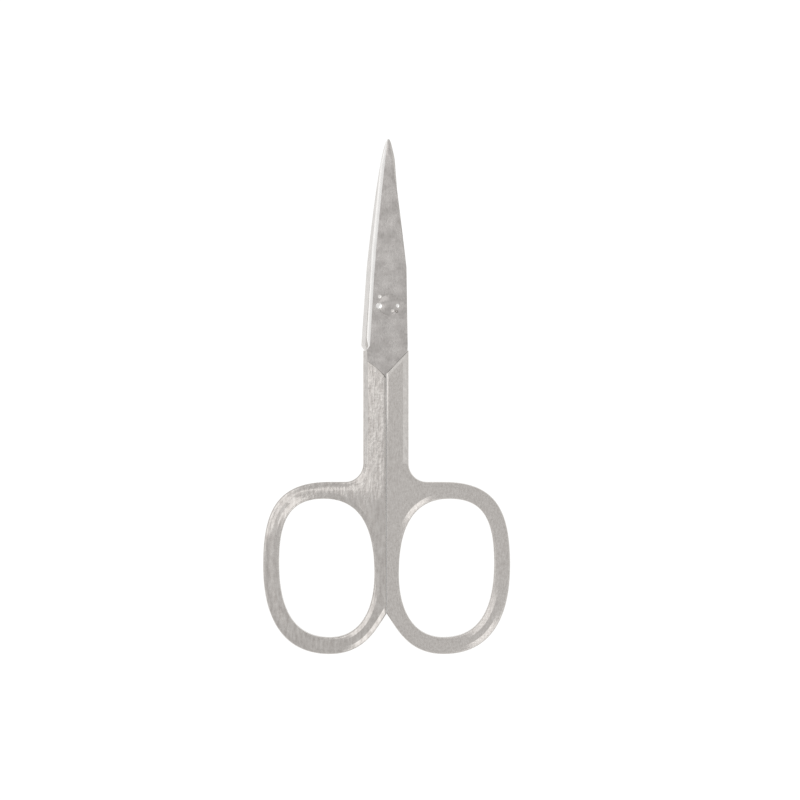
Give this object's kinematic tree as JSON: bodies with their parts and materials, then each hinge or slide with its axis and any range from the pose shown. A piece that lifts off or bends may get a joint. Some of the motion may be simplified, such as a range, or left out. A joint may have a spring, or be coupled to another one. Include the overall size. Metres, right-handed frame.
{
  "type": "nail scissors",
  "caption": "Straight nail scissors in satin steel: lapped halves on a flush rivet, each with a short tapered blade, a straight shank and an oval finger ring.",
  "frame": {"origin": "on the rivet's axis, on its flat lower end, which lies on the surface that the closed scissors rest on", "axes": "+Y along the closed blades to the points, +Z along the rivet out of the upper half, +X to the right with the points away"},
  "size_m": [0.0433, 0.09, 0.0032],
  "materials": {
    "lower_half": "satin, polished along the cutting edge",
    "upper_half": "satin, polished along the cutting edge",
    "pivot_rivet": "satin, ground flush"
  },
  "bodies": {
    "lower_half": {"lower_half": "lower_half", "pivot_rivet": "pivot_rivet"},
    "upper_half": {"upper_half": "upper_half"}
  },
  "joints": [
    {"name": "blade_pivot", "type": "hinge", "parent": "lower_half", "child": "upper_half", "pos_m": [0, 0, 0.0016], "axis": [0, 0, -1], "range_deg": [0, 130]}
  ]
}
